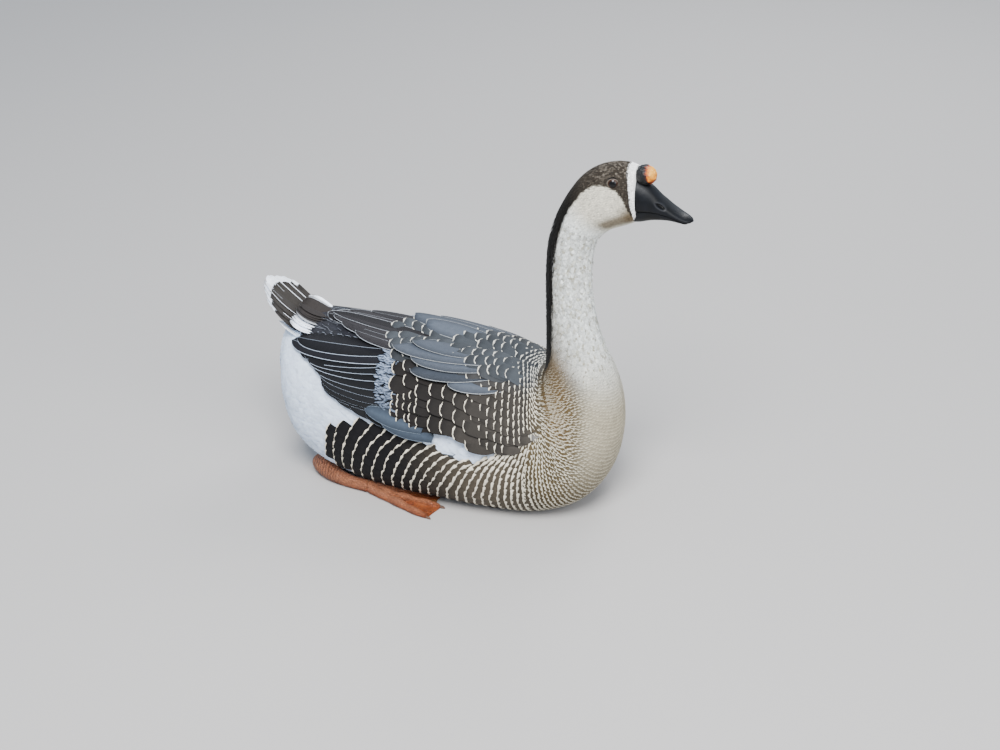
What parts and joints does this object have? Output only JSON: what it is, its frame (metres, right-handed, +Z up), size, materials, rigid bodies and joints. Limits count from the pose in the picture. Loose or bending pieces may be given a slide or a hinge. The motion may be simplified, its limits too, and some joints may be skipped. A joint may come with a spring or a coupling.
{
  "type": "swan goose",
  "caption": "Life-size still model of a domestic swan goose with a knobbed bill, lying down with its neck raised.",
  "frame": {"origin": "on the floor, on the flat of the belly, half way between the tip of the tail and the tip of the bill", "axes": "+X is the way the bird faces, +Y is its left side, +Z is up"},
  "size_m": [0.5621, 0.2646, 0.4645],
  "materials": {
    "breast_feathers": "soft, matte small feathers",
    "neck_feathers": "soft, matte, furrowed short feathers",
    "head_feathers": "velvety, matte",
    "black_horn": "satin horn",
    "orange_knob": "satin, finely wrinkled skin",
    "eye": "wet and clear",
    "wing_feathers": "smooth vanes with a low sheen",
    "tail_feathers": "smooth vanes with a low sheen",
    "orange_skin": "scaled, satin skin"
  },
  "bodies": {
    "root": {"torso": "breast_feathers", "neck_lower": "neck_feathers", "neck_upper": "neck_feathers", "head": "head_feathers", "bill_upper": "black_horn", "bill_lower": "black_horn", "knob": "orange_knob", "eye_right": "eye", "eye_left": "eye", "wing_right": "wing_feathers", "wing_left": "wing_feathers", "tail": "tail_feathers", "shank_right": "orange_skin", "shank_left": "orange_skin", "foot_right": "orange_skin", "foot_left": "orange_skin"}
  },
  "joints": []
}
